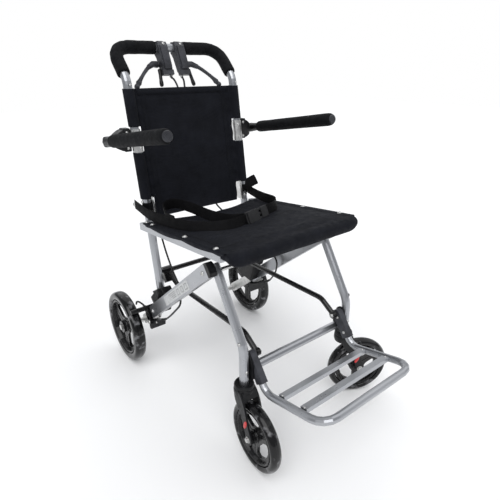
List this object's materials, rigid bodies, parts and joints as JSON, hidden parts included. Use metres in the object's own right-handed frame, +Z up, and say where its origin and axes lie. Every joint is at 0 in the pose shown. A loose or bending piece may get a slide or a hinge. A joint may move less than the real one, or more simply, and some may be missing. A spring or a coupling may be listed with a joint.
{
  "type": "transport wheelchair",
  "caption": "Light folding transport wheelchair with fabric seat and back, lap belt, flip-up armrests and footrest, hand brakes, swivel front casters and small rear wheels.",
  "frame": {"origin": "on the floor, under the middle of the chair's plan", "axes": "+Z up, the rider faces -Y, +X is the rider's left seen from behind: to the right of the picture"},
  "size_m": [0.5037, 0.7928, 0.8478],
  "materials": {
    "anodised_aluminium": "satin anodised",
    "black_plastic": "fine moulded grain",
    "black_nylon": "plain woven",
    "black_foam": "soft cellular foam",
    "smoky_tyre": "smooth grey polyurethane",
    "black_lacquer": "semi-gloss",
    "zinc_steel": "zinc plated"
  },
  "bodies": {
    "chair": {"side_bar_left": "anodised_aluminium", "side_bar_right": "anodised_aluminium", "bar_cap_left": "black_plastic", "bar_cap_right": "black_plastic", "brake_housing_left": "black_plastic", "brake_housing_right": "black_plastic", "seat_rail_left": "anodised_aluminium", "seat_rail_right": "anodised_aluminium", "rear_strut_left": "anodised_aluminium", "rear_strut_right": "anodised_aluminium", "hinge_plate_left": "zinc_steel", "hinge_plate_right": "zinc_steel", "axle_bracket_left": "zinc_steel", "axle_bracket_right": "zinc_steel", "brake_cable_lower_left": "black_plastic", "brake_cable_lower_right": "black_plastic", "seat_sling": "black_nylon", "seat_belt_left": "black_nylon", "seat_belt_right": "black_nylon", "belt_buckle": "black_plastic"},
    "backrest": {"back_frame": "anodised_aluminium", "back_sling": "black_nylon", "foam_grip_left": "black_foam", "foam_grip_right": "black_foam", "lever_body_left": "black_plastic", "lever_body_right": "black_plastic", "brake_cable_upper_left": "black_plastic", "brake_cable_upper_right": "black_plastic", "armrest_bracket_left": "black_plastic", "armrest_bracket_right": "black_plastic"},
    "front_legs": {"front_leg_left": "anodised_aluminium", "front_leg_right": "anodised_aluminium", "front_cross_tube": "anodised_aluminium", "pivot_rod": "zinc_steel", "footrest_gusset_left": "black_plastic", "footrest_gusset_right": "black_plastic"},
    "brace": {"brace_frame": "black_lacquer"},
    "footrest": {"footrest_frame": "anodised_aluminium", "footrest_slat_1": "anodised_aluminium", "footrest_slat_2": "anodised_aluminium", "footrest_sleeve_left": "black_plastic", "footrest_sleeve_right": "black_plastic"},
    "caster_left": {"caster_fork_left": "black_plastic"},
    "front_wheel_left": {"front_left_tyre": "smoky_tyre", "front_left_rim": "black_plastic"},
    "rear_wheel_left": {"rear_left_tyre": "smoky_tyre", "rear_left_rim": "black_plastic"},
    "armrest_left": {"armrest_pad_left": "black_foam"},
    "brake_lever_left": {"brake_lever_left": "black_lacquer"},
    "lock_lever_left": {"lock_lever_left": "black_plastic"},
    "brake_arm_left": {"brake_arm_left": "black_lacquer"},
    "caster_right": {"caster_fork_right": "black_plastic"},
    "front_wheel_right": {"front_right_tyre": "smoky_tyre", "front_right_rim": "black_plastic"},
    "rear_wheel_right": {"rear_right_tyre": "smoky_tyre", "rear_right_rim": "black_plastic"},
    "armrest_right": {"armrest_pad_right": "black_foam"},
    "brake_lever_right": {"brake_lever_right": "black_lacquer"},
    "lock_lever_right": {"lock_lever_right": "black_plastic"},
    "brake_arm_right": {"brake_arm_right": "black_lacquer"}
  },
  "joints": [
    {"name": "backrest_fold", "type": "hinge", "parent": "chair", "child": "backrest", "pos_m": [-0.0135, 0.2236, 0.478], "axis": [1, 0, 0], "range_deg": [0, 92], "deforming": ["seat_belt_left", "seat_belt_right", "brake_cable_lower_left", "brake_cable_lower_right", "brake_cable_upper_left", "brake_cable_upper_right"]},
    {"name": "front_leg_fold", "type": "hinge", "parent": "chair", "child": "front_legs", "pos_m": [-0.0135, -0.0991, 0.41], "axis": [1, 0, 0], "range_deg": [0, 42]},
    {"name": "brace_fold", "type": "hinge", "parent": "front_legs", "child": "brace", "pos_m": [-0.0135, -0.1816, 0.243], "axis": [1, 0, 0], "range_deg": [-42, 0]},
    {"name": "footrest_flip", "type": "hinge", "parent": "front_legs", "child": "footrest", "pos_m": [-0.0135, -0.1816, 0.243], "axis": [-1, 0, 0], "range_deg": [0, 80]},
    {"name": "caster_swivel_left", "type": "hinge", "parent": "front_legs", "child": "caster_left", "pos_m": [-0.1675, -0.1866, 0.1], "axis": [0, 0, 1], "continuous": true},
    {"name": "front_wheel_spin_left", "type": "hinge", "parent": "caster_left", "child": "front_wheel_left", "pos_m": [-0.1706, -0.23099, 0.078], "axis": [0.9976, -0.0698, 0], "continuous": true},
    {"name": "rear_wheel_spin_left", "type": "hinge", "parent": "chair", "child": "rear_wheel_left", "pos_m": [-0.2335, 0.2944, 0.102], "axis": [1, 0, 0], "continuous": true},
    {"name": "armrest_flip_left", "type": "hinge", "parent": "backrest", "child": "armrest_left", "pos_m": [-0.2275, 0.2654, 0.6255], "axis": [-1, 0, 0], "range_deg": [0, 95]},
    {"name": "brake_lever_pull_left", "type": "hinge", "parent": "backrest", "child": "brake_lever_left", "pos_m": [-0.055, 0.3204, 0.7935], "axis": [0, 0.8689, -0.495], "range_deg": [0, 20], "stiffness_Nm_per_rad": 0.5},
    {"name": "lock_lever_turn_left", "type": "hinge", "parent": "backrest", "child": "lock_lever_left", "pos_m": [-0.0547, 0.3099, 0.7815], "axis": [0, 1, 0], "range_deg": [0, 25]},
    {"name": "brake_arm_press_left", "type": "hinge", "parent": "chair", "child": "brake_arm_left", "pos_m": [-0.2005, 0.1984, 0.15], "axis": [-1, 0, 0], "range_deg": [0, 5.5]},
    {"name": "caster_swivel_right", "type": "hinge", "parent": "front_legs", "child": "caster_right", "pos_m": [0.1405, -0.1866, 0.1], "axis": [0, 0, 1], "continuous": true},
    {"name": "front_wheel_spin_right", "type": "hinge", "parent": "caster_right", "child": "front_wheel_right", "pos_m": [0.18015, -0.2068, 0.078], "axis": [0.454, 0.891, 0], "continuous": true},
    {"name": "rear_wheel_spin_right", "type": "hinge", "parent": "chair", "child": "rear_wheel_right", "pos_m": [0.2065, 0.2944, 0.102], "axis": [1, 0, 0], "continuous": true},
    {"name": "armrest_flip_right", "type": "hinge", "parent": "backrest", "child": "armrest_right", "pos_m": [0.2005, 0.2654, 0.6255], "axis": [-1, 0, 0], "range_deg": [0, 95]},
    {"name": "brake_lever_pull_right", "type": "hinge", "parent": "backrest", "child": "brake_lever_right", "pos_m": [0.028, 0.3204, 0.7935], "axis": [0, -0.8689, 0.495], "range_deg": [0, 20], "stiffness_Nm_per_rad": 0.5},
    {"name": "lock_lever_turn_right", "type": "hinge", "parent": "backrest", "child": "lock_lever_right", "pos_m": [0.0277, 0.3099, 0.7815], "axis": [0, -1, 0], "range_deg": [0, 25]},
    {"name": "brake_arm_press_right", "type": "hinge", "parent": "chair", "child": "brake_arm_right", "pos_m": [0.1735, 0.1984, 0.15], "axis": [-1, 0, 0], "range_deg": [0, 5.5]}
  ],
  "couplings": [
    {"joint": "brace_fold", "follows": "front_leg_fold", "ratio": -1},
    {"joint": "brake_arm_press_left", "follows": "brake_lever_pull_left", "ratio": 0.275},
    {"joint": "brake_arm_press_right", "follows": "brake_lever_pull_right", "ratio": 0.275}
  ]
}
